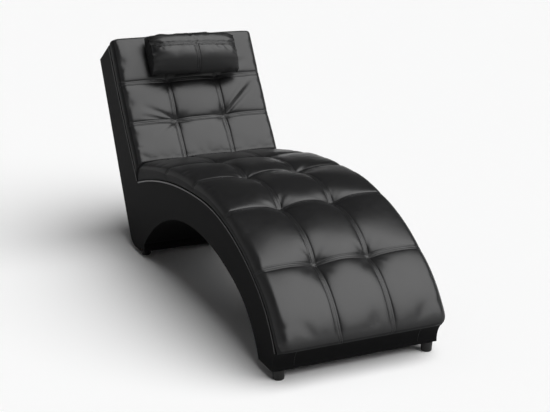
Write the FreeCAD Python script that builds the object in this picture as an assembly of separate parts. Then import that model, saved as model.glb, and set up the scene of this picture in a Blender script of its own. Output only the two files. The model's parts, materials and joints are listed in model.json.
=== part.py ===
import FreeCAD, Part
import math
import os
from FreeCAD import Vector

os.makedirs("parts", exist_ok=True)

# A chaise longue with an arched base, a raked back and a loose headrest, in millimetres.
# It is drawn with y = 0 at the front edge of the base and z = 0 on the floor, and moved to
# the middle of its own length when it is written.

# Frame
frame_width = 500.0
board = 18.0
skin = 3.0
deck_board = 6.0
hardboard = 3.0
base_clearance = 28.5
back_clearance = 17.0
joint_from_front = 1106.0

# Line of the seat, from the front lip over the crown to the back
seat_crown_from_front = 500.0
seat_crown_height = 364.0
seat_front_radius = 697.0
seat_front_turn = 35.4
seat_lip_radius = 337.0
seat_lip_turn = 32.6
seat_rear_radius = 1864.0
front_face_hollow = 7.0

# Line of the arch under the seat
arch_crown_from_front = 565.0
arch_crown_height = 255.0
arch_front_radius = 781.0
arch_front_turn = 24.4
arch_toe_radius = 295.0
arch_rear_radius = 708.0
rear_leg_depth = 48.0

# Back section
back_length = 503.0
back_face_radius = 4400.0
back_foot_rake = 36.5
back_top_depth = 137.0
back_rear_rake = 26.8
heel_radius = 55.0

# Seat cushion: heights are above the deck, rows are arc lengths from the front lip
cover_wall = 5.0
seat_overhang = 3.0
cushion_drawn_in = 3.0
cushion_shoulder = 24.0
wall_fullness = 0.72
panel_shares = (0.0, 0.2, 0.5, 0.8, 1.0)
panel_roundness = 0.8
seat_tuft_spacing = 162.0
seat_first_row = 215.0
seat_row_pitch = 238.0
seat_row_count = 4
seat_tuft_height = 18.0
seat_seam_height = 30.0
seat_seam_dip = 11.0
seat_edge_height = 38.0
seat_edge_dip = 5.0
seat_crown = 49.0
seat_rear_gain = 16.0
rear_gain_start = 0.4
nose_height = 33.0
nose_gain = 6.0
nose_round = 14.0
nose_crown = 3.0
crease_height = 57.0
edge_drop = 5.0
cushion_sink = 12.0

# Back cushion
back_overhang = 8.0
back_tuft_spacing = 176.0
back_first_row = 185.0
back_row_pitch = 149.0
back_row_count = 2
back_tuft_height = 40.0
back_seam_height = 56.0
back_seam_dip = 9.0
back_edge_height = 66.0
back_crown = 72.0
back_top_gain = 7.0
back_end_height = 50.0
brow_round = 13.0

# Headrest, measured along the face of the back
headrest_length = 326.0
headrest_height = 152.0
headrest_depth = 84.0
headrest_from_top = 92.0
headrest_gap = 1.5
headrest_wall = 4.0
headrest_end_share = 0.88
headrest_flat = 0.72
headrest_seam_share = 0.5
flap_width = 180.0
flap_sheet = 2.5
flap_drop = 150.0
flap_gap = 4.0
weight_radius = 10.0

# Fastenings and small parts
foot_radius = 17.0
foot_taper = 2.0
foot_edge = 3.0
foot_from_side = 24.0
foot_from_front = 14.0
screw_radius = 2.5
screw_head_radius = 5.0
screw_head_height = 3.0
screw_grip = 34.0
bolt_radius = 4.0
bolt_spacing_x = 300.0
bolt_spacing_z = 100.0
bolt_low_height = 90.0
bolt_head_radius = 6.5
bolt_head_height = 5.0
bolt_tail = 4.0
washer_radius = 9.0
washer_sheet = 1.6
nut_radius = 7.5
nut_height = 6.5
rail_width = 45.0
rail_depth = 22.0
seat_rail_shares = (0.16, 0.38, 0.6, 0.82)
arch_rail_shares = (0.3, 0.55, 0.8)
piping_radius = 2.5
piping_gap = 0.5

half_width = frame_width / 2
inner_half = half_width - skin
between_boards = inner_half - board
headrest_from_base = back_length - headrest_from_top


def point(y, z):
    return Vector(0, y, z)


# Curves. An arc is (centre y, centre z, radius, first angle, last angle) in radians from straight
# up, and is walked from the front to the back or from the foot to the top. Its normal points out
# of the upholstery, and a negative radius is a hollow curve.
def normal(angle):
    return math.sin(angle), math.cos(angle)


def on_arc(arc, angle, lift):
    ny, nz = normal(angle)
    return arc[0] + (arc[2] + lift) * ny, arc[1] + (arc[2] + lift) * nz


def arc_length(arc):
    return abs(arc[2] * (arc[4] - arc[3]))


def arc_edges(arcs, lift):
    edges = []
    for arc in arcs:
        angles = (arc[3], (arc[3] + arc[4]) / 2, arc[4])
        first, middle, last = [point(*on_arc(arc, angle, lift)) for angle in angles]
        edges.append(Part.Arc(first, middle, last).toShape())
    return edges


def station(arcs, length):
    # The arc and angle at a length along the curve; the end arcs run on past their ends.
    left = length
    for arc in arcs[:-1]:
        if left <= arc_length(arc):
            break
        left -= arc_length(arc)
    else:
        arc = arcs[-1]
    direction = 1 if arc[2] > 0 else -1
    return arc, arc[3] + direction * left / abs(arc[2])


def over_crown(crown_y, crown_z, front_radius, front_turn, toe_radius, rear_radius):
    # Three tangent arcs over a crown: toe, front and rear, with the toe and rear ends still open.
    join = on_arc((crown_y, crown_z - front_radius, front_radius), -front_turn, 0)
    ny, nz = normal(-front_turn)
    toe = (join[0] - toe_radius * ny, join[1] - toe_radius * nz, toe_radius)
    front = (crown_y, crown_z - front_radius, front_radius)
    rear = (crown_y, crown_z - rear_radius, rear_radius)
    return toe, front, rear


def seat_arcs(lift, inset):
    turn = math.radians(seat_front_turn)
    toe, front, rear = over_crown(seat_crown_from_front, seat_crown_height, seat_front_radius,
                                  turn, seat_lip_radius, seat_rear_radius)
    lip_angle = -turn - math.radians(seat_lip_turn)
    lip_y = on_arc(toe, lip_angle, 0)[0]
    first = math.asin((lip_y + inset - toe[0]) / (toe[2] + lift))
    last = math.asin((joint_from_front - rear[0]) / (rear[2] + lift))
    return [toe + (first, -turn), front + (-turn, 0.0), rear + (0.0, last)]


def arch_arcs(lift):
    turn = math.radians(arch_front_turn)
    toe, front, rear = over_crown(arch_crown_from_front, arch_crown_height, arch_front_radius,
                                  turn, arch_toe_radius, arch_rear_radius)
    first = -math.acos((base_clearance - toe[1]) / (toe[2] + lift))
    rear_y = joint_from_front - rear_leg_depth + lift
    last = math.asin((rear_y - rear[0]) / (rear[2] + lift))
    return [toe + (first, -turn), front + (-turn, 0.0), rear + (0.0, last)]


seat_line = seat_arcs(0, 0)
seat_length = sum(arc_length(arc) for arc in seat_line)
hinge_y, hinge_z = on_arc(seat_line[-1], seat_line[-1][4], 0)


def back_arcs():
    # One hollow arc up the front of the back section, from where it meets the seat.
    start = math.radians(back_foot_rake - 90)
    ny, nz = normal(start)
    centre_y = hinge_y + back_face_radius * ny
    centre_z = hinge_z + back_face_radius * nz
    return [(centre_y, centre_z, -back_face_radius, start, start - back_length / back_face_radius)]


back_line = back_arcs()
top_angle = back_line[0][4]
top_rake = math.pi / 2 + top_angle


def line(a, b):
    return Part.LineSegment(a, b).toShape()


def outline(edges):
    return Part.Wire(Part.__sortEdges__(edges))


def polygon(corners):
    corners = [point(*corner) for corner in corners]
    return Part.makePolygon(corners + corners[:1])


def prism(wire, low, high):
    # The side outline carried across the width from x = low to x = high.
    face = Part.Face(wire)
    face.translate(Vector(low, 0, 0))
    return face.extrude(Vector(high - low, 0, 0))


def block(x, y, z):
    size = [high - low for low, high in (x, y, z)]
    return Part.makeBox(size[0], size[1], size[2], Vector(x[0], y[0], z[0]))


def bar_x(radius, x, y, z):
    return Part.makeCylinder(radius, x[1] - x[0], Vector(x[0], y, z), Vector(1, 0, 0))


# Base section
def base_outline(inset):
    arcs = seat_arcs(0, inset)
    edges = arc_edges(arcs, 0)
    lip = point(*on_arc(arcs[0], arcs[0][3], 0))
    rear_top = point(*on_arc(arcs[-1], arcs[-1][4], 0))
    floor = base_clearance + inset
    rear_foot = point(joint_from_front, floor)
    front_foot = point(inset, floor)
    across = (front_foot - lip).normalize()
    hollow = point(-across.z, across.y) * front_face_hollow
    edges.append(line(rear_top, rear_foot))
    edges.append(line(rear_foot, front_foot))
    edges.append(Part.Arc(front_foot, (front_foot + lip) / 2 + hollow, lip).toShape())
    return outline(edges)


def above_deck(depth):
    # Everything outside the seat line, lowered by the depth, with both ends run on.
    arcs = seat_arcs(-depth, 0)
    run_on = board / seat_lip_radius
    arcs[0] = arcs[0][:3] + (arcs[0][3] - run_on, arcs[0][4])
    arcs[-1] = arcs[-1][:4] + (arcs[-1][4] + run_on,)
    edges = arc_edges(arcs, -depth)
    lip = point(*on_arc(arcs[0], arcs[0][3], -depth))
    rear = point(*on_arc(arcs[-1], arcs[-1][4], -depth))
    front = lip.y - board
    high = 2 * seat_crown_height
    corners = [lip, point(front, lip.z), point(front, high), point(rear.y, high), rear]
    for a, b in zip(corners, corners[1:]):
        edges.append(line(a, b))
    return outline(edges)


def arch_outline(lift):
    arcs = arch_arcs(lift)
    edges = arc_edges(arcs, lift)
    toe = point(*on_arc(arcs[0], arcs[0][3], lift))
    rear = point(*on_arc(arcs[-1], arcs[-1][4], lift))
    below = base_clearance - board
    corners = [rear, point(rear.y, below), point(toe.y, below), toe]
    for a, b in zip(corners, corners[1:]):
        edges.append(line(a, b))
    return outline(edges)


def base_solid(low, high, inset, depth):
    body = prism(base_outline(inset), low, high)
    body = body.cut(prism(arch_outline(inset), low - 1, high + 1))
    if depth:
        body = body.cut(prism(above_deck(depth), low - 1, high + 1))
    return body


def base_space():
    # What is left inside the base for its boards and rails.
    return base_solid(-between_boards, between_boards, skin, deck_board)


def base_side_board(side):
    low, high = sorted((side * between_boards, side * inner_half))
    return base_solid(low, high, skin, deck_board)


def base_side_cover(side):
    low, high = sorted((side * inner_half, side * half_width))
    return base_solid(low, high, 0, 0)


def base_front_board():
    low = foot_from_front - board / 2
    space = block((-half_width, half_width), (low, low + board), (0, seat_crown_height))
    return base_space().common(space)


def base_rear_board():
    rear = (joint_from_front - board, joint_from_front)
    return base_space().common(block((-half_width, half_width), rear, (0, seat_crown_height)))


def seat_deck():
    whole = base_solid(-inner_half, inner_half, skin, 0)
    return whole.common(prism(above_deck(deck_board), -half_width, half_width))


def arch_lining():
    strip = prism(arch_outline(skin), -inner_half, inner_half)
    strip = strip.cut(prism(arch_outline(0), -half_width, half_width))
    return strip.common(prism(base_outline(0), -half_width, half_width))


def base_skin():
    # The front and the undersides of both legs, without the arch.
    whole = base_solid(-inner_half, inner_half, 0, 0)
    whole = whole.cut(prism(arch_outline(skin), -half_width, half_width))
    return whole.cut(prism(base_outline(skin), -half_width, half_width))


def front_skirt():
    tuck = foot_from_front + foot_radius
    return base_skin().common(block((-half_width, half_width), (-board * 4, tuck), (0, seat_crown_height)))


def leg_underlays():
    tuck = foot_from_front + foot_radius
    under = block((-half_width, half_width), (tuck, joint_from_front), (0, seat_crown_height))
    return base_skin().common(under)


def rail_across(arcs, length, lift, width, depth):
    # A rail between the side boards, flat against a curve and below it.
    arc, angle = station(arcs, length)
    ny, nz = normal(angle)
    y, z = on_arc(arc, angle, lift)
    along = Vector(0, nz, -ny) * width
    down = Vector(0, -ny, -nz) * depth
    corner = Vector(-between_boards, y, z) - along / 2
    corners = [corner, corner + along, corner + along + down, corner + down, corner]
    return Part.Face(Part.makePolygon(corners)).extrude(Vector(2 * between_boards, 0, 0))


def seat_rails():
    rails = []
    space = base_space()
    for share in seat_rail_shares:
        rail = rail_across(seat_line, seat_length * share, skin - deck_board, rail_width, rail_depth)
        rails.append(rail.common(space))
    return Part.makeCompound(rails)


def arch_rails():
    rails = []
    arcs = arch_arcs(skin)
    length = sum(arc_length(arc) for arc in arcs)
    space = base_space()
    for share in arch_rail_shares:
        rail = rail_across(arcs, length * share, skin + rail_depth, rail_width, rail_depth * 1.5)
        rails.append(rail.common(space))
    return Part.makeCompound(rails)


# Back section
def back_outline(inset):
    # Top, rear, heel and underside; the front is cut along the face of the back.
    top_y, top_z = on_arc(back_line[0], top_angle, 0)
    down = (math.cos(top_rake), -math.sin(top_rake))
    rake = math.radians(back_rear_rake)
    rear_y = top_y + down[0] * (back_top_depth - inset) - inset * math.sin(top_rake)
    rear_z = top_z + down[1] * (back_top_depth - inset) - inset * math.cos(top_rake)
    front_y = rear_y - down[0] * back_length * 2
    front_z = rear_z - down[1] * back_length * 2
    floor = back_clearance + inset
    heel_y = rear_y - (rear_z - floor) * math.tan(rake)
    radius = heel_radius - inset
    reach = radius * math.tan((math.pi / 2 - rake) / 2)
    low = (heel_y - reach, floor)
    high = (heel_y + reach * math.sin(rake), floor + reach * math.cos(rake))
    centre = (low[0], floor + radius)
    turn = (math.pi / 2 - rake) / 2
    middle = (centre[0] + radius * math.sin(turn), centre[1] - radius * math.cos(turn))
    start = (front_y, floor)
    edges = [line(point(*start), point(*low))]
    edges.append(Part.Arc(point(*low), point(*middle), point(*high)).toShape())
    corners = [high, (rear_y, rear_z), (front_y, front_z), start]
    for a, b in zip(corners, corners[1:]):
        edges.append(line(point(*a), point(*b)))
    return outline(edges)


def behind_back(depth):
    # Everything behind the face of the back and behind the joint with the base.
    arc = back_line[0]
    arcs = [(arc[0], arc[1], arc[2], arc[3], arc[4] - 2 * board / back_face_radius)]
    edges = arc_edges(arcs, -depth)
    low = point(*on_arc(arc, arc[3], -depth))
    high = point(*on_arc(arcs[0], arcs[0][4], -depth))
    far = high.y + 2 * back_length
    joint = point(joint_from_front, low.z)
    corners = [high, point(far, high.z), point(far, -board), point(joint_from_front, -board), joint]
    for a, b in zip(corners, corners[1:]):
        edges.append(line(a, b))
    if depth:
        edges.append(line(joint, low))
    return outline(edges)


def back_solid(low, high, inset, depth):
    return prism(back_outline(inset), low, high).common(prism(behind_back(depth), low - 1, high + 1))


back_inset = skin + hardboard


def back_space():
    return back_solid(-between_boards, between_boards, back_inset, deck_board)


def back_side_board(side):
    low, high = sorted((side * between_boards, side * inner_half))
    return back_solid(low, high, back_inset, deck_board)


def back_side_cover(side):
    low, high = sorted((side * inner_half, side * half_width))
    return back_solid(low, high, 0, 0)


def back_rear_cover():
    whole = back_solid(-inner_half, inner_half, 0, 0)
    return whole.cut(back_solid(-half_width, half_width, skin, 0))


def back_hardboard():
    whole = back_solid(-inner_half, inner_half, skin, 0)
    return whole.cut(back_solid(-half_width, half_width, back_inset, 0))


def back_panel():
    whole = back_solid(-inner_half, inner_half, back_inset, 0)
    return whole.cut(back_solid(-half_width, half_width, back_inset, deck_board))


def back_front_board():
    space = block((-half_width, half_width), (joint_from_front, joint_from_front + board), (0, hinge_z))
    return back_space().common(space)


def back_rail(length):
    rail = rail_across(back_line, length, skin - deck_board, rail_width, rail_depth)
    return rail.common(back_space())


def back_top_rail():
    return back_rail(back_length - rail_width / 2 - back_inset)


def back_middle_rail():
    return back_rail(back_length / 2)


def back_heel_rail():
    # Stands on the underside board where the rear sheet begins to rise.
    depth = (back_clearance + back_inset, back_clearance + back_inset + rail_width)
    rear = joint_from_front + 2 * board + rail_depth
    return back_space().common(block((-half_width, half_width), (rear - rail_depth, rear), depth))


# Cushions. A section stands square to the curve it lies on: a flat bottom, drawn-in side walls,
# rounded shoulders and three crowned arcs between the two lengthwise seams. Its four heights are
# those of the edge, the lengthwise seam, the side crown and the middle crown.
def cushion_section(arcs, length, heights, seam, overhang, wall):
    edge, tuft, side_crown, middle_crown = [height - wall for height in heights]
    arc, angle = station(arcs, length)
    ny, nz = normal(angle)
    foot_y, foot_z = on_arc(arc, angle, 0)
    wide = half_width + overhang - wall
    foot = half_width - cushion_drawn_in - wall
    radius = min(cushion_shoulder, edge * 0.6)
    flat = wide - radius

    def at(x, height):
        return Vector(x, foot_y + height * ny, foot_z + height * nz)

    def half(side):
        low = at(side * foot, -cushion_sink)
        waist = at(side * wide, edge - radius)
        shoulder = at(side * flat, edge)
        lap = at(side * seam / 2, tuft)
        wall_middle = at(side * (foot + wall_fullness * (wide - foot)), (edge - radius - cushion_sink) / 2)
        turn = radius * (1 - math.sqrt(0.5))
        shoulder_middle = at(side * (wide - turn), edge - turn)
        crown_middle = at(side * (flat + seam / 2) / 2, side_crown)
        return [(low, wall_middle, waist), (waist, shoulder_middle, shoulder),
                (shoulder, crown_middle, lap)]

    right = half(1)
    left = half(-1)
    triples = right + [(right[2][2], at(0, middle_crown), left[2][2])]
    triples += [(c, b, a) for a, b, c in reversed(left)]
    edges = [Part.Arc(*triple).toShape() for triple in triples]
    edges.append(line(left[0][0], right[0][0]))
    return Part.Wire(edges)


def mix(first, last, share):
    return [a + (b - a) * share for a, b in zip(first, last)]


def cushion_form(arcs, stops, swells, seam, overhang, wall):
    # One loft from each cross seam to the next. Between them the heights swell to those given, as
    # the sine of the way across, so the seams stay as creases.
    panels = []
    for (start, low), (end, high), swell in zip(stops, stops[1:], swells):
        sections = []
        for share in panel_shares if swell else (0.0, 1.0):
            heights = mix(low, high, share)
            if swell:
                middle = mix(low, high, 0.5)
                rise = math.sin(math.pi * share) ** panel_roundness
                heights = [h + (s - m) * rise for h, s, m in zip(heights, swell, middle)]
            length = start + (end - start) * share
            sections.append(cushion_section(arcs, length, heights, seam, overhang, wall))
        panels.append(Part.makeLoft(sections, True, not swell))
    return panels[0].multiFuse(panels[1:])


def raised(heights, gain):
    return [height + gain for height in heights]


def seat_form(wall):
    edge = seat_edge_height
    dip = edge - seat_edge_dip
    full = (edge, seat_crown - seat_seam_dip, seat_crown, seat_crown)
    row = (dip, seat_tuft_height, seat_seam_height, seat_seam_height)
    rear = (edge, crease_height - edge_drop, crease_height, crease_height)
    nose = edge + nose_gain
    stops = [(wall, (nose_height, nose_height, nose_height + nose_crown / 2, nose_height + nose_crown / 2))]
    stops.append((nose_round + wall, (nose, nose, nose + nose_crown, nose + nose_crown)))
    swells = [None]
    for count in range(seat_row_count):
        length = seat_first_row + seat_row_pitch * count
        gain = seat_rear_gain * max(0.0, length / seat_length - rear_gain_start)
        stops.append((length, raised(row, gain)))
        swells.append(raised(full, gain))
    stops.append((seat_length + cushion_sink, rear))
    swells.append((crease_height - edge_drop, crease_height - edge_drop, crease_height, crease_height))
    return cushion_form(seat_line, stops, swells, seat_tuft_spacing, seat_overhang, wall)


def back_form(wall):
    gain = back_top_gain / back_length
    edge = back_edge_height
    full = (edge, back_crown - back_seam_dip, back_crown, back_crown)
    row = (edge - seat_edge_dip, back_tuft_height, back_seam_height, back_seam_height)
    foot = (crease_height - edge_drop, crease_height - edge_drop, crease_height, crease_height)
    stops = [(-cushion_sink, foot)]
    swells = []
    for count in range(back_row_count):
        length = back_first_row + back_row_pitch * count
        stops.append((length, raised(row, gain * length)))
        swells.append(raised(full, gain * (length - back_row_pitch / 2)))
    brow = back_length - brow_round - wall
    top = edge + back_top_gain
    stops.append((brow, (top, top - 3, top + 1, top + 1)))
    swells.append(raised(full, back_top_gain))
    end = back_end_height
    stops.append((back_length - wall, (end, end - 1, end, end)))
    swells.append(None)
    return cushion_form(back_line, stops, swells, back_tuft_spacing, back_overhang, wall)


def crease_side(toward_seat, wall):
    # The half of the space on one side of the crease, which halves the angle of seat and back.
    along_seat = seat_line[-1][4]
    seat_way = Vector(0, -math.cos(along_seat), math.sin(along_seat))
    foot = math.radians(back_foot_rake)
    back_way = Vector(0, math.sin(foot), math.cos(foot))
    up = (seat_way + back_way).normalize()
    out = Vector(0, -up.z, up.y) if toward_seat else Vector(0, up.z, -up.y)
    corner = Vector(0, hinge_y, hinge_z) + out * wall
    reach = 2 * (seat_length + back_length)
    corners = [corner - up * reach, corner + up * reach, corner + up * reach + out * reach,
               corner - up * reach + out * reach]
    return prism(Part.makePolygon(corners + corners[:1]), -frame_width, frame_width)


def on_deck(form):
    # What of a seat form lies above the deck and in front of the joint.
    form = form.cut(prism(base_outline(0), -frame_width, frame_width))
    return form.cut(prism(behind_back(0), -frame_width, frame_width))


def seat_foam():
    return on_deck(seat_form(cover_wall).common(crease_side(True, cover_wall)))


def seat_cover():
    return on_deck(seat_form(0).common(crease_side(True, 0))).cut(seat_foam())


def on_back(form):
    return form.cut(prism(behind_back(0), -frame_width, frame_width))


def back_foam():
    return on_back(back_form(cover_wall).common(crease_side(False, cover_wall)))


def back_cover():
    return on_back(back_form(0).common(crease_side(False, 0))).cut(back_foam())


# Beads of piping on the side covers, along the seat line and along the face of the back
def piping(arcs, side, start, end):
    lift = -piping_radius - piping_gap
    first = station(arcs, start)[1]
    path = list(arcs)
    path[0] = path[0][:3] + (first, path[0][4])
    path[-1] = path[-1][:4] + (station(arcs, end)[1],)
    wire = Part.Wire(arc_edges(path, lift))
    wire.translate(Vector(side * half_width, 0, 0))
    ny, nz = normal(first)
    y, z = on_arc(path[0], first, lift)
    ring = Part.Circle(Vector(side * half_width, y, z), Vector(0, nz, -ny), piping_radius)
    bead = wire.makePipeShell([Part.Wire(ring.toShape())], True, False)
    low, high = sorted((side * half_width, side * (half_width + board)))
    reach = 2 * seat_length
    return bead.common(block((low, high), (-reach, reach), (0, reach)))


def seat_piping(side):
    return piping(seat_line, side, piping_radius, seat_length - piping_radius * 2)


def back_piping(side):
    return piping(back_line, side, piping_radius * 2, back_length - piping_radius)


# Headrest: a gusseted pillow on a flap that hangs over the top of the back
pillow_rest = back_crown + back_top_gain + headrest_gap


def pillow_section(x, wall):
    share = min(1.0, abs(x) / (headrest_length / 2))
    size = 1 - (1 - headrest_end_share) * share ** 4
    height = headrest_height * size / 2 - wall
    depth = headrest_depth * (size ** 2) / 2 - wall
    arc, angle = station(back_line, headrest_from_base)
    ny, nz = normal(angle)
    y, z = on_arc(arc, angle, pillow_rest + headrest_depth / 2)

    def at(up, out):
        return Vector(x, y + up * nz + out * ny, z - up * ny + out * nz)

    flat = height * headrest_flat
    ring = [(at(-flat, -depth), at(0, -depth), at(flat, -depth)),
            (at(flat, -depth), at(height, -depth * 0.2), at(height * 0.8, depth * 0.62)),
            (at(height * 0.8, depth * 0.62), at(height * 0.68, depth * 0.82),
             at(height * headrest_seam_share, depth * 0.92)),
            (at(height * headrest_seam_share, depth * 0.92), at(-height * 0.2, depth),
             at(-flat, depth * 0.6)),
            (at(-flat, depth * 0.6), at(-height, -depth * 0.15), at(-flat, -depth))]
    edges = [line(ring[0][0], ring[0][2])]
    edges += [Part.Arc(*triple).toShape() for triple in ring[1:]]
    return Part.Wire(edges)


def pillow_form(wall):
    half = headrest_length / 2 - wall
    stations = [-half, -half * 0.9, -half * 0.6, 0, half * 0.6, half * 0.9, half]
    return Part.makeLoft([pillow_section(x, wall) for x in stations], True, False)


def headrest_filling():
    return pillow_form(headrest_wall)


def headrest_cover():
    return pillow_form(0).cut(pillow_form(headrest_wall))


def flap_path(lift):
    # Corners of the flap seen from the side: off the pillow, over the top, and down the rear.
    arc = back_line[0]
    ny, nz = normal(top_angle)
    rise = (nz, -ny)
    top = on_arc(arc, top_angle, 0)
    start_arc, start_angle = station(back_line, headrest_from_base + headrest_height / 2)
    start = on_arc(start_arc, start_angle, pillow_rest + headrest_depth / 2)
    over = flap_gap + lift
    brow = back_end_height + over
    front = (top[0] + rise[0] * over + ny * brow, top[1] + rise[1] * over + nz * brow)
    past = back_top_depth + flap_gap + lift
    rear = (top[0] + rise[0] * over - ny * past, top[1] + rise[1] * over - nz * past)
    rake = math.radians(back_rear_rake)
    end = (rear[0] - flap_drop * math.sin(rake), rear[1] - flap_drop * math.cos(rake))
    return [start, front, rear, end]


def headrest_flap():
    inner = flap_path(0)
    outer = flap_path(flap_sheet)
    along = flap_sheet * math.cos(top_angle), -flap_sheet * math.sin(top_angle)
    outer[0] = (inner[0][0] + along[0], inner[0][1] + along[1])
    sheet = prism(polygon(inner + outer[::-1]), -flap_width / 2, flap_width / 2)
    pocket = weight_centre()
    bag = bar_x(weight_radius + flap_sheet, (-flap_width / 2, flap_width / 2), *pocket)
    bag = bag.fuse(sheet.cut(pillow_form(0)))
    return bag.cut(counterweight_bar())


def weight_centre():
    end = flap_path(0)[3]
    rake = math.radians(back_rear_rake)
    out = weight_radius + flap_sheet
    return end[0] + out * math.cos(rake), end[1] - out * math.sin(rake)


def counterweight_bar():
    reach = flap_width / 2 - flap_sheet * 2
    return bar_x(weight_radius, (-reach, reach), *weight_centre())


# Feet and fastenings
def foot_places():
    side = half_width - foot_from_side
    front = foot_from_front
    rear = joint_from_front + board / 2
    return {"foot_front_left": (-side, front, base_clearance),
            "foot_front_right": (side, front, base_clearance),
            "foot_rear_left": (-side, rear, back_clearance),
            "foot_rear_right": (side, rear, back_clearance)}


def foot_screw(place):
    x, y, top = place
    head = Part.makeCylinder(screw_head_radius, screw_head_height, Vector(x, y, foot_edge))
    shank = Part.makeCylinder(screw_radius, top + screw_grip - foot_edge, Vector(x, y, foot_edge))
    return head.fuse(shank).removeSplitter()


def foot(place):
    x, y, top = place
    body = Part.makeCone(foot_radius - foot_taper, foot_radius, top, Vector(x, y, 0))
    rim = [edge for edge in body.Edges if len(edge.Vertexes) == 1 and edge.CenterOfMass.z < foot_edge / 2]
    body = body.makeFillet(foot_edge, rim)
    way_in = Part.makeCylinder(screw_head_radius, foot_edge + screw_head_height, Vector(x, y, 0))
    return body.cut(way_in).cut(foot_screw(place))


def foot_screws():
    return Part.makeCompound([foot_screw(place) for place in foot_places().values()])


def drilled(shape):
    for x, y, top in foot_places().values():
        shape = shape.cut(Part.makeCylinder(screw_radius, top + screw_grip, Vector(x, y, 0)))
    return shape


def bolt_places():
    for x in (-bolt_spacing_x / 2, bolt_spacing_x / 2):
        for z in (bolt_low_height, bolt_low_height + bolt_spacing_z):
            yield x, z


def bolted(shape):
    for x, z in bolt_places():
        start = Vector(x, joint_from_front - 2 * board, z)
        shape = shape.cut(Part.makeCylinder(bolt_radius, 4 * board, start, Vector(0, 1, 0)))
    return shape


def across_joint(radius, start, length, x, z):
    return Part.makeCylinder(radius, length, Vector(x, joint_from_front + start, z), Vector(0, 1, 0))


def hexagon_prism(radius, start, length, x, z):
    corners = []
    for turn in range(7):
        angle = math.radians(60 * turn)
        corners.append(Vector(x + radius * math.cos(angle), joint_from_front + start,
                              z + radius * math.sin(angle)))
    return Part.Face(Part.makePolygon(corners)).extrude(Vector(0, length, 0))


def joining_bolts():
    bolts = []
    near = -board - washer_sheet
    far = board + washer_sheet + nut_height + bolt_tail
    for x, z in bolt_places():
        head = across_joint(bolt_head_radius, near - bolt_head_height, bolt_head_height, x, z)
        shank = across_joint(bolt_radius, near, far - near, x, z)
        bolts.append(head.fuse(shank).removeSplitter())
    return Part.makeCompound(bolts)


def joining_washers():
    washers = []
    for x, z in bolt_places():
        for start in (-board - washer_sheet, board):
            disc = across_joint(washer_radius, start, washer_sheet, x, z)
            washers.append(disc.cut(across_joint(bolt_radius, start, washer_sheet, x, z)))
    return Part.makeCompound(washers)


def joining_nuts():
    nuts = []
    start = board + washer_sheet
    for x, z in bolt_places():
        nut = hexagon_prism(nut_radius, start, nut_height, x, z)
        nuts.append(nut.cut(across_joint(bolt_radius, start, nut_height, x, z)))
    return Part.makeCompound(nuts)


def chaise():
    pieces = {
        "base_front_board": drilled(base_front_board()),
        "base_rear_board": bolted(base_rear_board()),
        "seat_rails": seat_rails(),
        "arch_rails": arch_rails(),
        "seat_deck": seat_deck(),
        "arch_lining": arch_lining(),
        "front_skirt": drilled(front_skirt()),
        "leg_underlays": leg_underlays(),
        "seat_foam": seat_foam(),
        "seat_cover": seat_cover(),
        "back_front_board": drilled(bolted(back_front_board())),
        "back_top_rail": back_top_rail(),
        "back_middle_rail": back_middle_rail(),
        "back_heel_rail": back_heel_rail(),
        "back_panel": back_panel(),
        "back_hardboard": drilled(back_hardboard()),
        "back_rear_cover": drilled(back_rear_cover()),
        "back_foam": back_foam(),
        "back_cover": back_cover(),
        "headrest_filling": headrest_filling(),
        "headrest_cover": headrest_cover(),
        "headrest_flap": headrest_flap(),
        "headrest_counterweight": counterweight_bar(),
        "foot_screws": foot_screws(),
        "joining_bolts": joining_bolts(),
        "joining_washers": joining_washers(),
        "joining_nuts": joining_nuts(),
    }
    for name, side in (("left", -1), ("right", 1)):
        pieces["base_side_board_" + name] = base_side_board(side)
        pieces["base_side_cover_" + name] = base_side_cover(side)
        pieces["seat_piping_" + name] = seat_piping(side)
        pieces["back_side_board_" + name] = back_side_board(side)
        pieces["back_side_cover_" + name] = back_side_cover(side)
        pieces["back_piping_" + name] = back_piping(side)
    for name, place in foot_places().items():
        pieces[name] = foot(place)
    return pieces


def write(pieces):
    boxes = [shape.optimalBoundingBox() for shape in pieces.values()]
    front = min(box.YMin for box in boxes)
    rear = max(box.YMax for box in boxes)
    shift = Vector(0, -(front + rear) / 2, 0)
    print("length", round(rear - front, 1), "shift", round(shift.y, 2))
    print("height", round(max(box.ZMax for box in boxes), 1), "slide angle",
          round((math.degrees(top_rake) + back_rear_rake) / 2, 2))
    for name, shape in pieces.items():
        shape.translate(shift)
        print(name, len(shape.Solids), shape.isValid(), round(shape.Volume))
        shape.exportStep("parts/" + name + ".step")


write(chaise())
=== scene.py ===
import json
import math
import bpy
import numpy as np
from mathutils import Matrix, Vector


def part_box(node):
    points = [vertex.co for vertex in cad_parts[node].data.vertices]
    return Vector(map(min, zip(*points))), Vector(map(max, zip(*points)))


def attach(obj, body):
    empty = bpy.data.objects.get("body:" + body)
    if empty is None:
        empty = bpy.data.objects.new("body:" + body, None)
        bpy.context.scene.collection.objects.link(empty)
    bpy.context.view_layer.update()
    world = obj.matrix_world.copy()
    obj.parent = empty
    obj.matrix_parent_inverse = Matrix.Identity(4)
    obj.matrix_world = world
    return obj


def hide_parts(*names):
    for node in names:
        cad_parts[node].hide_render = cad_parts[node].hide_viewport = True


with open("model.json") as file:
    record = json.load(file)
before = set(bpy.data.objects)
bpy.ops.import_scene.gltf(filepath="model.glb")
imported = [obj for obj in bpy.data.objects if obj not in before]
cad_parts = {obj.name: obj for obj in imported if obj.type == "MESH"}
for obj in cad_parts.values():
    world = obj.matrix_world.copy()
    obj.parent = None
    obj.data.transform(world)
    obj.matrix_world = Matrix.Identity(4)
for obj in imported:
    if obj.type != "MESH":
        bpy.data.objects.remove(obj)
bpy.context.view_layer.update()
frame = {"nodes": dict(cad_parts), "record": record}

nodes = frame["nodes"]

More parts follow.
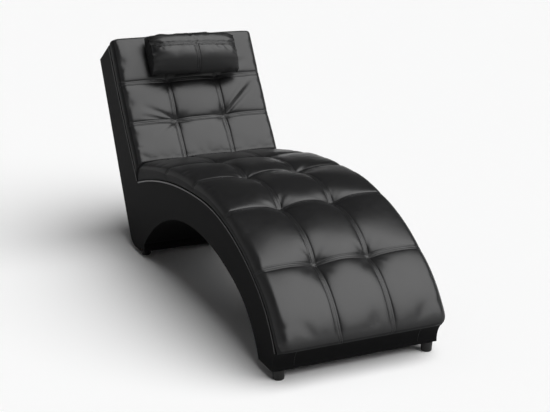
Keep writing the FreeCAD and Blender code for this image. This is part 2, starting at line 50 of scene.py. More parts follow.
# Lines that the upholstery lies on, in metres: s runs along a line, lift stands square to it and
# x runs across. The part's own zero along y is the front edge of its base.
seatBed = dict(crownY=0.500, crownZ=0.364, frontRadius=0.697, frontTurn=35.4, lipRadius=0.337,
               lipTurn=32.6, rearRadius=1.864, jointY=1.106)
backBed = dict(radius=4.4, footRake=36.5, length=0.503, topDepth=0.137, rearRake=26.8)
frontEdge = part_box("base_rear_board")[1][1] - seatBed["jointY"]
# a distance beyond the whole piece
farAway = 9.0


def seatLine(bed):
    turn = math.radians(bed["frontTurn"])
    front = (bed["crownY"], bed["crownZ"] - bed["frontRadius"], bed["frontRadius"])
    joinY = front[0] - front[2] * math.sin(turn)
    joinZ = front[1] + front[2] * math.cos(turn)
    lip = (joinY + bed["lipRadius"] * math.sin(turn), joinZ - bed["lipRadius"] * math.cos(turn),
           bed["lipRadius"])
    rear = (bed["crownY"], bed["crownZ"] - bed["rearRadius"], bed["rearRadius"])
    last = math.asin((bed["jointY"] - rear[0]) / rear[2])
    return [lip + (-turn - math.radians(bed["lipTurn"]), -turn), front + (-turn, 0.0), rear + (0.0, last)]


def backLine(bed, hinge):
    start = math.radians(bed["footRake"] - 90)
    return [(hinge[0] + bed["radius"] * math.sin(start), hinge[1] + bed["radius"] * math.cos(start),
             -bed["radius"], start, start - bed["length"] / bed["radius"])]


seatArcs = seatLine(seatBed)
seatLength = sum(abs(a[2] * (a[4] - a[3])) for a in seatArcs)
rearArc = seatArcs[2]
hinge = (rearArc[0] + rearArc[2] * math.sin(rearArc[4]), rearArc[1] + rearArc[2] * math.cos(rearArc[4]))
backArcs = backLine(backBed, hinge)


def onBed(arcs, s, lift, x):
    # point = centre + (radius + lift) * (sin a, cos a), with a = first angle + s / radius
    s, lift, x = np.broadcast_arrays(s, lift, x)
    starts = np.cumsum([0.0] + [abs(a[2] * (a[4] - a[3])) for a in arcs[:-1]])
    which = np.clip(np.searchsorted(starts, s, side="right") - 1, 0, len(arcs) - 1)
    arc = np.array(arcs)[which]
    angle = arc[..., 3] + (s - starts[which]) / arc[..., 2]
    y = arc[..., 0] + (arc[..., 2] + lift) * np.sin(angle) + frontEdge
    z = arc[..., 1] + (arc[..., 2] + lift) * np.cos(angle)
    return np.stack([x, y, z], axis=-1)


def tubeFaces(points):
    # quads round every row of a closed tube, with a cap at each end, all facing outwards
    rows, cols = points.shape[:2]
    index = np.arange(rows * cols).reshape(rows, cols)
    ring = np.concatenate([index, index[:, :1]], axis=1)
    quads = np.stack([ring[:-1, :-1], ring[:-1, 1:], ring[1:, 1:], ring[1:, :-1]], axis=-1).reshape(-1, 4)
    flat = points.reshape(-1, 3)
    a, b, c, d = [flat[quads[:, k]] for k in range(4)]
    volume = (np.einsum("ij,ij->i", a, np.cross(b, c)) + np.einsum("ij,ij->i", a, np.cross(c, d))).sum()
    faces = quads.tolist() + [index[0][::-1].tolist(), index[-1].tolist()]
    return faces if volume > 0 else [face[::-1] for face in faces]


def makePiece(name, verts, faces, material=None):
    mesh = bpy.data.meshes.new(name)
    mesh.from_pydata(np.asarray(verts).reshape(-1, 3).tolist(), [], faces)
    mesh.update()
    mesh.shade_smooth()
    if material:
        mesh.materials.append(material)
    piece = bpy.data.objects.new(name, mesh)
    bpy.context.collection.objects.link(piece)
    return piece


# What the three cloth runs share
clothLook = dict(quality=5, mass=0.4, damping=4.0, stretch=15.0)


def settled(name, points, pinned, look):
    # Lets a coarse skin blow up and pucker between the points that its seams hold, and returns how
    # far each point moved, eased so that none passes the cap.
    skin = makePiece(name, points, tubeFaces(points))
    group = skin.vertex_groups.new(name="held")
    group.add(np.nonzero(pinned.reshape(-1))[0].tolist(), 1.0, "REPLACE")
    cloth = skin.modifiers.new("cloth", "CLOTH")
    rules = cloth.settings
    rules.quality = look["quality"]
    rules.mass = look["mass"]
    rules.air_damping = look["damping"]
    rules.tension_stiffness = rules.compression_stiffness = look["stretch"]
    rules.shear_stiffness = look["stretch"] / 2
    rules.bending_stiffness = look["bend"]
    rules.use_pressure = True
    rules.uniform_pressure_force = look["pressure"]
    rules.shrink_min = -look["ease"]
    rules.vertex_group_mass = "held"
    rules.effector_weights.gravity = 0.0
    cloth.point_cache.frame_start = 1
    cloth.point_cache.frame_end = look["frames"]
    for step in range(1, look["frames"] + 1):
        bpy.context.scene.frame_set(step)
    shown = skin.evaluated_get(bpy.context.evaluated_depsgraph_get())
    flat = np.empty(len(shown.data.vertices) * 3)
    shown.data.vertices.foreach_get("co", flat)
    moved = flat.reshape(points.shape) - points
    far = np.linalg.norm(moved, axis=-1, keepdims=True)
    moved = moved * look["cap"] / (look["cap"] + far)
    bpy.data.objects.remove(skin)
    bpy.context.scene.frame_set(1)
    print(name, "settled, mean move in mm", round(float(far.mean()) * 1000, 2),
          "most", round(float(far.max()) * 1000, 1))
    return moved


def between(values, rowsFrom, colsFrom, rowsTo, colsTo):
    # values on one grid read off at the places of another, first down the rows and then across
    i = np.clip(np.searchsorted(rowsFrom, rowsTo, side="right") - 1, 0, len(rowsFrom) - 2)
    t = ((rowsTo - rowsFrom[i]) / (rowsFrom[i + 1] - rowsFrom[i]))[:, None, None]
    values = values[i] * (1 - t) + values[i + 1] * t
    j = np.clip(np.searchsorted(colsFrom, colsTo, side="right") - 1, 0, len(colsFrom) - 2)
    t = ((colsTo - colsFrom[j]) / (colsFrom[j + 1] - colsFrom[j]))[None, :, None]
    return values[:, j] * (1 - t) + values[:, j + 1] * t


def spaced(low, high, step, marks=(), fine=0.0, reach=0.0, growth=0.4):
    # places from low to high that stand closer together near each mark
    places = [low]
    while places[-1] < high - 1e-9:
        near = min([abs(places[-1] - mark) for mark in marks], default=farAway)
        places.append(places[-1] + (fine if near < reach else min(step, fine + (near - reach) * growth)))
    places = np.array(places)
    return low + (places - low) * (high - low) / (places[-1] - low)


def swell(t, power):
    return np.sin(np.pi * np.clip(t, 0, 1)) ** power


def ripple(t, counts, phases):
    # a sum of sines, each with its own count and size
    return sum(size * np.sin(count * t + phase) for (count, size), phase in zip(counts, phases))


def waves(s, x, seed, size, height, count=9, spread=(0.6, 1.7)):
    # slow irregular waves: a sum of sines that run in random directions, their pitch spread round the size
    chance = np.random.default_rng(seed)
    total = np.zeros(np.broadcast(s, x).shape)
    for _ in range(count):
        way, phase = chance.uniform(0, math.tau, 2)
        pitch = size * chance.uniform(*spread)
        total += np.sin((s * math.cos(way) + x * math.sin(way)) * math.tau / pitch + phase)
    return total * height / math.sqrt(count)


# Every fold, as shares of its own length, width and depth
foldLook = dict(narrow=0.5, widen=0.9, fadeIn=0.12, fadeOut=0.5, fadePower=0.7, ridge=0.55, ridgeAt=1.7)


def crease(s, x, fold, look):
    # a valley with a low ridge beside it, along a line that fades at its far end
    (s0, x0), (s1, x1), depth, width = fold
    ds, dx = s1 - s0, x1 - x0
    length = math.hypot(ds, dx)
    along = ((s - s0) * ds + (x - x0) * dx) / length ** 2
    across = ((s - s0) * dx - (x - x0) * ds) / length
    wide = width * (look["narrow"] + look["widen"] * np.clip(along, 0, 1))
    fadeIn = np.clip(along / look["fadeIn"], 0, 1)
    fade = fadeIn * np.clip((1 - along) / look["fadeOut"], 0, 1) ** look["fadePower"]
    ridge = look["ridge"] * np.exp(-((across - look["ridgeAt"] * wide) / wide) ** 2)
    return fade * depth * (ridge - np.exp(-(across / wide) ** 2))


# Materials
def newMaterial(name):
    material = bpy.data.materials.new(name)
    material.use_nodes = True
    tree = material.node_tree
    return material, tree, tree.nodes["Principled BSDF"]


def connect(tree, node, sockets):
    # a socket that is given another node's output is linked, any other is set
    for name, value in sockets.items():
        if isinstance(value, bpy.types.NodeSocket):
            tree.links.new(value, node.inputs[name])
        else:
            node.inputs[name].default_value = value


def addNode(tree, kind, sockets, **settings):
    node = tree.nodes.new("ShaderNode" + kind)
    for name, value in settings.items():
        setattr(node, name, value)
    connect(tree, node, sockets)
    return node


def addTone(tree, look, factor):
    # the colour a share darker and a share lighter, mixed by the factor
    darker, lighter = [tuple(c * (1 + way * look["vary"]) for c in look["colour"]) + (1,) for way in (-1, 1)]
    return addNode(tree, "MixRGB", {"Color1": darker, "Color2": lighter, "Fac": factor}).outputs["Color"]


def addWear(tree, look, factor):
    spread = {"To Min": look["roughness"] - look["wander"], "To Max": look["roughness"] + look["wander"]}
    return addNode(tree, "MapRange", dict(spread, Value=factor)).outputs["Result"]


def addBump(tree, strength, depth, height, under=None):
    node = addNode(tree, "Bump", {"Strength": strength, "Distance": depth, "Height": height})
    if under:
        connect(tree, node, {"Normal": under})
    return node.outputs["Normal"]


def leatherMaterial(name, look):
    # coated leather: pebbled grain with fine creases, and a sheen that wanders a little
    material, tree, shader = newMaterial(name)
    place = addNode(tree, "TexCoord", {}).outputs["Object"]
    grain = addNode(tree, "TexVoronoi", {"Scale": look["grainScale"], "Vector": place}, feature="SMOOTH_F1")
    drift = addNode(tree, "TexNoise", {"Scale": look["driftScale"], "Detail": look["driftDetail"],
                                       "Vector": place}).outputs["Fac"]
    fine = addBump(tree, look["grainStrength"], look["grainDepth"], grain.outputs["Distance"])
    broad = addBump(tree, look["driftStrength"], look["driftDepth"], drift, fine)
    # the attribute marks the side walls, which are duller
    side = addNode(tree, "Attribute", {}, attribute_name="side").outputs["Fac"]
    dull = addNode(tree, "Math", {0: side, 1: look["sideDull"], 2: addWear(tree, look, drift)},
                   operation="MULTIPLY_ADD", use_clamp=True)
    connect(tree, shader, {"Base Color": addTone(tree, look, drift), "Roughness": dull.outputs["Value"],
                           "Normal": broad, "IOR": look["ior"]})
    return material


def woodMaterial(name, look):
    # raw wood: long stretched grain over a slow drift of tone
    material, tree, shader = newMaterial(name)
    place = addNode(tree, "TexCoord", {}).outputs["Object"]
    stretch = addNode(tree, "Mapping", {"Scale": look["stretch"], "Vector": place}).outputs["Vector"]
    grain = addNode(tree, "TexNoise", {"Scale": look["scale"], "Detail": look["detail"],
                                       "Distortion": look["distortion"], "Vector": stretch}).outputs["Fac"]
    ramp = addNode(tree, "ValToRGB", {"Fac": grain})
    for stop, position, colour in zip(ramp.color_ramp.elements, look["stops"], (look["dark"], look["light"])):
        stop.position = position
        stop.color = colour + (1,)
    connect(tree, shader, {"Base Color": ramp.outputs["Color"], "Roughness": look["roughness"],
                           "Normal": addBump(tree, look["bump"], look["bumpDepth"], grain)})
    return material


def speckledMaterial(name, look):
    # fine speckle for felt, moulded plastic and plated steel, with wear in the roughness
    material, tree, shader = newMaterial(name)
    place = addNode(tree, "TexCoord", {}).outputs["Object"]
    speckle = addNode(tree, "TexNoise", {"Scale": look["scale"], "Detail": look["detail"],
                                         "Vector": place}).outputs["Fac"]
    connect(tree, shader, {"Base Color": addTone(tree, look, speckle),
                           "Roughness": addWear(tree, look, speckle),
                           "Normal": addBump(tree, look["bump"], look["bumpDepth"], speckle),
                           "Metallic": look["metal"], "IOR": look["ior"]})
    return material


leatherLook = dict(colour=(0.0095, 0.0095, 0.0099), vary=0.25, roughness=0.35, wander=0.05, ior=1.48,
                   sideDull=0.6, grainScale=620.0, grainStrength=0.25, grainDepth=0.0002, driftScale=45.0,
                   driftDetail=5, driftStrength=0.2, driftDepth=0.0008)
# the panel leather: partly the panels' own black leather, partly painted shade, a step darker than the
# cushions and with almost no reflection
panelLookPaintedShade = dict(leatherLook, colour=(0.0075, 0.0075, 0.0078), roughness=0.55, ior=1.07, driftStrength=0.15)
threadLook = dict(leatherLook, colour=(0.03, 0.03, 0.031), roughness=0.55, ior=1.45, grainScale=1500.0)
# the side leather: the cushion leather's colour with far less reflection, for walls and ends, so it paints
# shade on them
sideLookPaintedShade = dict(leatherLook, roughness=0.5, ior=1.2, sideDull=0.2)
pipingLook = dict(leatherLook, colour=(0.016, 0.016, 0.0165), roughness=0.32, ior=1.6)
woodLook = dict(detail=8, stops=(0.3, 0.7), bump=0.3, bumpDepth=0.0004)
plywoodLook = dict(woodLook, stretch=(3.0, 1.0, 1.0), scale=22.0, distortion=1.2, roughness=0.65,
                   dark=(0.42, 0.28, 0.15), light=(0.60, 0.44, 0.27))
hardboardLook = dict(woodLook, stretch=(1.0, 1.0, 1.0), scale=180.0, distortion=0.4, roughness=0.75,
                     dark=(0.14, 0.08, 0.045), light=(0.21, 0.13, 0.075))
speckleLook = dict(detail=6, wander=0.1, bumpDepth=0.0003, metal=0.0)
underlayLook = dict(speckleLook, colour=(0.012, 0.012, 0.012), vary=0.5, scale=900.0, roughness=0.85,
                    bump=0.6, ior=1.3)
plasticLook = dict(speckleLook, colour=(0.010, 0.010, 0.010), vary=0.3, scale=1400.0, roughness=0.5,
                   bump=0.2, ior=1.35)
steelLook = dict(speckleLook, colour=(0.60, 0.61, 0.63), vary=0.15, scale=700.0, roughness=0.38,
                 bump=0.15, metal=1.0, ior=1.5)

print("materials")
cushionLeather = leatherMaterial("cushionLeather", leatherLook)
sideLeatherPaintedShade = leatherMaterial("sideLeatherPaintedShade", sideLookPaintedShade)
panelLeatherPaintedShade = leatherMaterial("panelLeatherPaintedShade", panelLookPaintedShade)
pipingLeather = leatherMaterial("pipingLeather", pipingLook)
threadMaterial = leatherMaterial("thread", threadLook)
plywood = woodMaterial("plywood", plywoodLook)
hardboard = woodMaterial("hardboard", hardboardLook)
underlay = speckledMaterial("underlay", underlayLook)
footPlastic = speckledMaterial("footPlastic", plasticLook)
zincSteel = speckledMaterial("zincSteel", steelLook)


# Height of a quilted cushion over its bed: a smooth crown, a starred pit at each tuft, a shallow
# valley along each seam, a low swell in each panel and small puckers round the tufts.
def quiltHeight(s, x, quilt):
    s, x = np.broadcast_arrays(s, x)
    edge = np.interp(s, quilt["along"], quilt["edgeHeight"])
    crown = np.interp(s, quilt["along"], quilt["crownHeight"])
    across = np.clip(np.abs(x) / quilt["edgeX"], 0, 1)
    height = edge + (crown - edge) * (1 - across ** quilt["crownPower"])
    marks = [quilt["start"]] + quilt["rows"] + [quilt["end"]]
    panel = np.clip(np.searchsorted(marks, s, side="right") - 1, 0, len(marks) - 2)
    low, high = np.array(marks)[panel], np.array(marks)[panel + 1]
    column = quilt["columnHalf"]
    share = np.where(np.abs(x) < column, (x + column) / (2 * column),
                     (np.abs(x) - column) / (quilt["edgeX"] * quilt["puffPast"] - column))
    puff = np.array(quilt["puff"])[panel] * swell((s - low) / (high - low), quilt["puffPower"])
    height = height + puff * swell(share, quilt["puffPower"])
    sides = np.maximum(np.abs(np.abs(x) - column) - quilt["bandFlat"], 0)
    seamFade = np.clip((quilt["end"] - s) / quilt["seamFade"], quilt["seamLeast"], 1)
    valleyS = np.zeros(s.shape)
    for row in quilt["rows"]:
        nearRow = np.maximum(np.abs(s - row) - quilt["bandFlat"], 0)
        valleyS = np.maximum(valleyS, np.exp(-nearRow / quilt["valleyWidth"]))
    valleyX = np.exp(-sides / quilt["valleyWidth"]) * seamFade
    height = height - quilt["valleyDepth"] * np.maximum(valleyS, valleyX)
    chance = np.random.default_rng(quilt["seed"])
    for row, tuft in zip(quilt["rows"], quilt["tuftHeight"]):
        depth = np.interp(row, quilt["along"], quilt["crownHeight"]) - tuft - quilt["valleyDepth"]
        for side in (-1, 1):
            ds, dx = s - row, x - side * column
            reachS = np.where(ds < 0, quilt["pitFront"], quilt["pitRear"])
            offS = np.maximum(np.abs(ds) - quilt["bandFlat"], 0) / reachS
            offX = np.maximum(np.abs(dx) - quilt["bandFlat"], 0) / quilt["pitAcross"]
            far = (offS ** quilt["star"] + offX ** quilt["star"]) ** (1 / quilt["star"])
            height = height - depth * np.exp(-far ** quilt["pitPower"])
            turn, phase = np.arctan2(dx, ds), chance.uniform(0, math.tau, 2)
            ring = np.exp(-((np.hypot(ds, dx) - quilt["ringAt"]) / quilt["ringWide"]) ** 2)
            height = height + quilt["pucker"] * ring * ripple(turn, quilt["ripples"], phase)
    for fold in quilt["folds"]:
        height = height + crease(s, x, fold, foldLook)
    return height + waves(s, x, quilt["seed"] + 5, quilt["waveSize"], quilt["waveHeight"])


def roundOff(s, end, radius):
    # how far a quarter round has dropped at each place near an end
    t = np.clip(np.abs(s - end) / max(radius, 1e-6), 0, 1)
    return radius * (1 - np.sqrt(1 - (1 - t) ** 2))


def sections(s, xTop, quilt):
    # across each row: left wall, left shoulder, quilted top, right shoulder, right wall, as x and height
    top = quiltHeight(s[:, None], xTop[None, :], quilt)
    for end, radius in ((quilt["start"], quilt["startRound"]), (quilt["end"], quilt["endRound"])):
        top = top - roundOff(s, end, radius)[:, None]
    wide = quilt["edgeX"] + quilt["shoulder"]
    turn = np.linspace(0, math.pi / 2, quilt["shoulderSteps"] + 1)[1:][None, :]
    down = np.linspace(0, 1, quilt["wallSteps"] + 1)[1:][None, :]
    halves = []
    for edge in (top[:, :1], top[:, -1:]):
        radius = np.minimum(quilt["shoulder"], edge * quilt["shoulderShare"])
        roundX = quilt["edgeX"] + quilt["shoulder"] * np.sin(turn) + 0 * edge
        roundH = edge - radius * (1 - np.cos(turn))
        wallX = wide - (wide - quilt["footX"]) * down ** quilt["wallPower"] + 0 * edge
        wallH = (edge - radius) * (1 - down)
        halves.append((np.concatenate([roundX, wallX], axis=1), np.concatenate([roundH, wallH], axis=1)))
    (leftX, leftH), (rightX, rightH) = halves
    middle = np.repeat(xTop[None, :], len(s), axis=0)
    x = np.concatenate([-leftX[:, ::-1], middle, rightX], axis=1)
    height = np.concatenate([leftH[:, ::-1], top, rightH], axis=1)
    # one end's corners draw in, least of all down at the foot
    corner = roundOff(s, quilt["roundedEnd"], quilt["cornerRound"])
    share = np.clip(height / quilt["pullHeight"], quilt["pullLeast"], 1)
    return x * (1 - (corner / wide * quilt["cornerPull"])[:, None] * share), height


def cushionPoints(arcs, s, xTop, quilt):
    x, height = sections(s, xTop, quilt)
    # near the crease the rows lean into the plane that halves the angle between seat and back
    toCrease = np.abs(s - quilt["creaseAt"])
    lean = quilt["creaseWay"] * quilt["creaseSlope"] * np.clip(1 - toCrease / quilt["creaseReach"], 0, 1)
    return onBed(arcs, s[:, None] + lean[:, None] * height, height, x)


def normalsOf(points, outward):
    normal = np.cross(np.gradient(points, axis=0), np.gradient(points, axis=1))
    normal /= np.linalg.norm(normal, axis=-1, keepdims=True) + 1e-12
    return normal if (normal * outward).sum() > 0 else -normal


def seamRelief(distance, seam):
    # a flat raised band over the joined edges, a groove down its middle and a ditch along each side
    band = seam["bandRise"] * np.exp(-(distance / seam["bandHalf"]) ** 6)
    ditch = seam["ditchDepth"] * np.exp(-((np.abs(distance) - seam["ditchAt"]) / seam["ditchWide"]) ** 2)
    middle = seam["grooveDepth"] * np.exp(-(distance / seam["grooveWide"]) ** 2)
    return band - ditch - middle


def setSides(piece, dullness, onWall):
    # gives every point its dullness, and to both caps and to the faces on a wall the side leather, a less
    # reflective copy of the leather that paints shade on them
    piece.data.attributes.new("side", "FLOAT", "POINT").data.foreach_set("value", dullness.ravel())
    piece.data.materials.append(sideLeatherPaintedShade)
    index = np.append(onWall[:-1].astype(int).ravel(), [1, 1])
    piece.data.polygons.foreach_set("material_index", index)


def buildCushion(name, arcs, quilt, seam, look, material):
    column = quilt["columnHalf"]
    edge = quilt["edgeX"]
    coarseS = spaced(quilt["start"], quilt["end"], look["grid"])
    coarseX = spaced(-edge, edge, look["grid"])
    coarse = cushionPoints(arcs, coarseS, coarseX, quilt)
    side = quilt["shoulderSteps"] + quilt["wallSteps"]
    rim = look["rimHold"]
    held = np.zeros(coarse.shape[:2], bool)
    for row in quilt["rows"]:
        for mark in (-column, column):
            toTuft = np.hypot(coarseS[:, None] - row, coarseX[None, :] - mark)
            held[:, side:-side] |= toTuft < look["tuftHold"]
    held[:, :side - rim] = held[:, rim - side:] = True
    held[:rim] = held[-rim:] = True
    moved = settled(name + "Skin", coarse, held, look)
    fine = (quilt["fine"], quilt["fineReach"])
    fineS = spaced(quilt["start"], quilt["end"], quilt["step"], quilt["rows"], *fine)
    fineX = spaced(-edge, edge, quilt["step"], [-column, column], *fine)
    points = cushionPoints(arcs, fineS, fineX, quilt)
    # past the edge each step of the shoulder and wall counts as one pitch
    ends = np.arange(1, side + 1) * quilt["sidePitch"]
    placesFrom = np.concatenate([-edge - ends[::-1], coarseX, edge + ends])
    placesTo = np.concatenate([-edge - ends[::-1], fineX, edge + ends])
    points = points + between(moved, coarseS, placesFrom, fineS, placesTo)
    upwards = onBed(arcs, fineS[:, None], 1.0, placesTo) - onBed(arcs, fineS[:, None], 0.0, placesTo)
    outward = normalsOf(points, upwards)
    across = np.full(len(fineS), farAway)
    for row in quilt["rows"]:
        nearer = np.abs(fineS - row) < np.abs(across)
        across[nearer] = (fineS - row)[nearer]
    lengthwise = np.abs(placesTo) - column
    relief = np.where(np.abs(across)[:, None] < np.abs(lengthwise)[None, :],
                      seamRelief(across, seam)[:, None], seamRelief(lengthwise, seam)[None, :])
    relief[:, :quilt["wallSteps"]] = relief[:, -quilt["wallSteps"]:] = 0
    points = points + outward * relief[..., None]
    piece = makePiece(name, points, tubeFaces(points), material)
    # the skin grows duller round the shoulders and toward the nose
    shoulder = quilt["sidePitch"] * quilt["shoulderSteps"]
    aside = np.clip((np.abs(placesTo) - edge) / shoulder * quilt["sideRamp"] - quilt["sideStart"], 0, 1)
    nose = np.clip(1 - fineS / quilt["noseDull"], 0, 1) ** 0.5 if quilt["noseDull"] else 0 * fineS
    # the walls and the first rows of the nose take the side leather, whose weaker reflection paints shade
    # there
    onWall = (np.abs(placesTo) > edge + shoulder * quilt["sideFrom"])[None, :]
    setSides(piece, np.maximum(aside[None, :], nose[:, None]), onWall | (fineS < quilt["noseWall"])[:, None])
    return piece, dict(points=points, s=fineS, across=placesTo, normals=outward)


def stitchLines(skin, quilt, seam):
    # both needle lines of every seam, each as places along the skin and the way out of it
    lines = []
    s, across, grids = skin["s"], skin["across"], (skin["points"], skin["normals"])
    reach = slice(quilt["wallSteps"], len(across) - quilt["wallSteps"])
    for way in (-1, 1):
        offset = way * seam["stitchOffset"]
        for row in quilt["rows"]:
            place = np.array([row + offset])
            lines.append([between(grid, s, across, place, across)[0, reach] for grid in grids])
        for column in (-quilt["columnHalf"], quilt["columnHalf"]):
            place = np.array([column + offset])
            lines.append([between(grid, s, across, s, place)[:, 0] for grid in grids])
    return lines


def buildStitches(name, lines, seam, material, rings=5, corners=6):
    # each stitch is a short six-sided grain of thread that dips into the skin at both ends
    verts, faces = [], []
    shares = np.linspace(-0.5, 0.5, rings)
    turn = np.linspace(0, math.tau, corners, endpoint=False)
    for path, normal in lines:
        length = np.concatenate([[0], np.cumsum(np.linalg.norm(np.diff(path, axis=0), axis=1))])
        middles = np.arange(seam["stitchPitch"], length[-1] - seam["stitchPitch"], seam["stitchPitch"])
        place = middles[:, None] + shares[None, :] * seam["stitchLength"]
        spot = np.stack([np.interp(place, length, path[:, k]) for k in range(3)], axis=-1)
        out = np.stack([np.interp(place, length, normal[:, k]) for k in range(3)], axis=-1)
        way = spot[:, -1:] - spot[:, :1]
        way = way / (np.linalg.norm(way, axis=-1, keepdims=True) + 1e-12)
        side = np.cross(way, out)
        thick = seam["threadRadius"] * np.sqrt(seam["threadTip"] - (2 * shares) ** 2)
        lift = seam["threadRadius"] * (seam["threadLift"] - seam["threadDip"] * (2 * shares) ** 4)
        spot = spot + out * lift[None, :, None]
        ring = out[:, :, None] * np.cos(turn)[:, None] + side[:, :, None] * np.sin(turn)[:, None]
        verts.append((spot[:, :, None] + ring * thick[None, :, None, None]).reshape(-1, 3))
    verts = np.concatenate(verts)
    k, j = np.meshgrid(np.arange(rings - 1), np.arange(corners), indexing="ij")
    a, b = (k * corners + j).ravel(), (k * corners + (j + 1) % corners).ravel()
    sides = np.stack([a, a + corners, b + corners, b], axis=-1)
    for base in range(0, len(verts), rings * corners):
        last = base + (rings - 1) * corners
        faces += (sides + base).tolist()
        faces += [list(range(base, base + corners)), list(range(last, last + corners))[::-1]]
    return makePiece(name, verts, faces, material)


# Seams: band and needle lines, in metres. The thread's tip, lift and dip are shares of its radius.
seam = dict(bandHalf=0.0048, bandRise=0.0010, grooveDepth=0.0005, grooveWide=0.0012, ditchAt=0.0062,
            ditchWide=0.0016, ditchDepth=0.0011, stitchOffset=0.0040, stitchPitch=0.0052, stitchLength=0.0040,
            threadRadius=0.00050, threadTip=1.02, threadLift=0.9, threadDip=2.2)
seatSeam = dict(seam, bandRise=0.0008, ditchDepth=0.0007)

# What both cushions share: lengths in metres, powers, and shares of a length or a height
quiltLook = dict(start=0.0, footX=0.247, fine=0.0013, fineReach=0.008, sidePitch=0.01, crownPower=2.6,
                 puffPower=0.7, puffPast=1.15, seamFade=0.10, seamLeast=0.25, pitPower=1.1, ringAt=0.030,
                 ringWide=0.020, ripples=((7, 1.0), (11, 0.8)), shoulderShare=0.75, wallPower=2.2,
                 cornerPull=0.8, pullHeight=0.030, pullLeast=0.15, creaseSlope=0.70, sideRamp=1.4,
                 sideStart=0.4)
cushionSettle = dict(clothLook, bend=12.0, pressure=2.5, ease=0.008, frames=16, tuftHold=0.011, rimHold=3)

# The seat cushion
seatQuilt = dict(quiltLook, seed=11, end=seatLength, rows=[0.216, 0.447, 0.690, 0.930], columnHalf=0.081,
                 edgeX=0.224, shoulder=0.029, shoulderSteps=9, wallSteps=5, step=0.0065, bandFlat=0.0045,
                 along=[0.0, 0.06, 0.2, 0.6, 0.8, 1.0, 1.24],
                 edgeHeight=[0.046, 0.041, 0.037, 0.037, 0.041, 0.047, 0.058],
                 crownHeight=[0.045, 0.046, 0.047, 0.048, 0.051, 0.054, 0.062],
                 puff=[0.003, 0.004, 0.004, 0.004, 0.001], valleyDepth=0.0030, valleyWidth=0.009,
                 tuftHeight=[0.022, 0.018, 0.026, 0.034], pitFront=0.046, pitRear=0.024, pitAcross=0.042,
                 star=1.3, pucker=0.0006, waveSize=0.16, waveHeight=0.0006, startRound=0.014, endRound=0.0,
                 roundedEnd=0.0, cornerRound=0.030, creaseAt=seatLength, creaseWay=-1, creaseReach=0.16,
                 sideFrom=0.8, noseDull=0.028, noseWall=0.004,
                 folds=[((1.235, -0.14), (1.06, -0.21), 0.003, 0.007),
                        ((1.235, -0.06), (1.10, -0.10), 0.003, 0.006),
                        ((1.235, 0.05), (1.09, 0.02), 0.003, 0.007),
                        ((1.235, 0.15), (1.08, 0.19), 0.003, 0.007)])
seatSettle = dict(cushionSettle, grid=0.0085, cap=0.004)

# The back cushion
backQuilt = dict(quiltLook, seed=23, end=0.503, rows=[0.185, 0.333], columnHalf=0.088, edgeX=0.236,
                 shoulder=0.022, shoulderSteps=8, wallSteps=6, step=0.0055, bandFlat=0.004,
                 along=[0.0, 0.08, 0.25, 0.40, 0.503], edgeHeight=[0.063, 0.064, 0.066, 0.069, 0.070],
                 crownHeight=[0.065, 0.067, 0.070, 0.073, 0.072], puff=[0.003, 0.004, 0.003],
                 valleyDepth=0.0026, valleyWidth=0.008, tuftHeight=[0.053, 0.055], pitFront=0.026,
                 pitRear=0.024, pitAcross=0.034, star=1.2, pucker=0.0004, waveSize=0.13, waveHeight=0.0007,
                 startRound=0.0, endRound=0.013, roundedEnd=0.503, cornerRound=0.012, creaseAt=0.0,
                 creaseWay=1, creaseReach=0.11, sideFrom=0.5, noseDull=0.0, noseWall=-1.0,
                 folds=[((0.190, 0.094), (0.315, 0.240), 0.0060, 0.010),
                        ((0.193, -0.095), (0.245, -0.205), 0.003, 0.009),
                        ((0.187, -0.10), (0.212, -0.215), 0.002, 0.007),
                        ((0.338, 0.094), (0.392, 0.215), 0.003, 0.009),
                        ((0.330, 0.098), (0.333, 0.205), 0.0015, 0.007),
                        ((0.180, -0.094), (0.135, -0.180), 0.002, 0.009)])
backSettle = dict(cushionSettle, grid=0.0075, cap=0.003)

print("cushions")
seatCushion, seatSkin = buildCushion("seatCushion", seatArcs, seatQuilt, seatSeam, seatSettle, cushionLeather)
seatStitching = buildStitches("seatStitching", stitchLines(seatSkin, seatQuilt, seam), seam, threadMaterial)
backCushion, backSkin = buildCushion("backCushion", backArcs, backQuilt, seam, backSettle, cushionLeather)
backStitching = buildStitches("backStitching", stitchLines(backSkin, backQuilt, seam), seam, threadMaterial)

# The pillow: a box pillow with a long seam near its top, a short one down its middle and gusset ends.
# Its own places are up and out from its middle, as shares of half its height and half its depth.
pillowLook = dict(length=0.308, height=0.142, depth=0.081, middle=0.408, aside=0.006, rest=0.0800, tilt=0.045,
                  outline=[(-0.62, -1.0), (0.0, -1.0), (0.70, -1.0), (0.96, -0.62), (1.0, -0.10), (0.93, 0.42),
                           (0.70, 0.78), (0.30, 0.96), (-0.02, 1.0), (-0.32, 0.93), (-0.60, 0.72),
                           (-0.85, 0.34), (-1.0, -0.16), (-0.92, -0.72)],
                  topCorner=4, seamCorner=7, lowCorner=12, capShares=(0.97, 0.9, 0.78, 0.6, 0.4, 0.2, 0.06),
                  endDepth=0.66, depthPower=3.2, endHeight=0.94, endPull=0.025, belly=0.14, bellyLow=0.25,
                  bellyReach=0.45, sag=0.004, gusset=0.007, rimRise=0.0022, rimWide=0.0028, rimFrom=0.8,
                  puckerRise=0.0010, endFade=0.022, endRipples=((170, 1.0), (263, 1.0)), topFade=0.016,
                  topRipples=((74, 1.0), (131, 0.7)), topMiddle=0.5, ditchDepth=0.0022, ditchReach=0.007,
                  underDull=0.7, underReach=0.5, ring=260, step=0.0045, fine=0.0012, fineReach=0.008,
                  waveSize=0.09, waveHeight=0.0006, seed=31)
pillowSettle = dict(clothLook, rows=40, ring=56, backHold=0.9, bend=6.0, pressure=3.0, ease=0.02, frames=18,
                    cap=0.005)


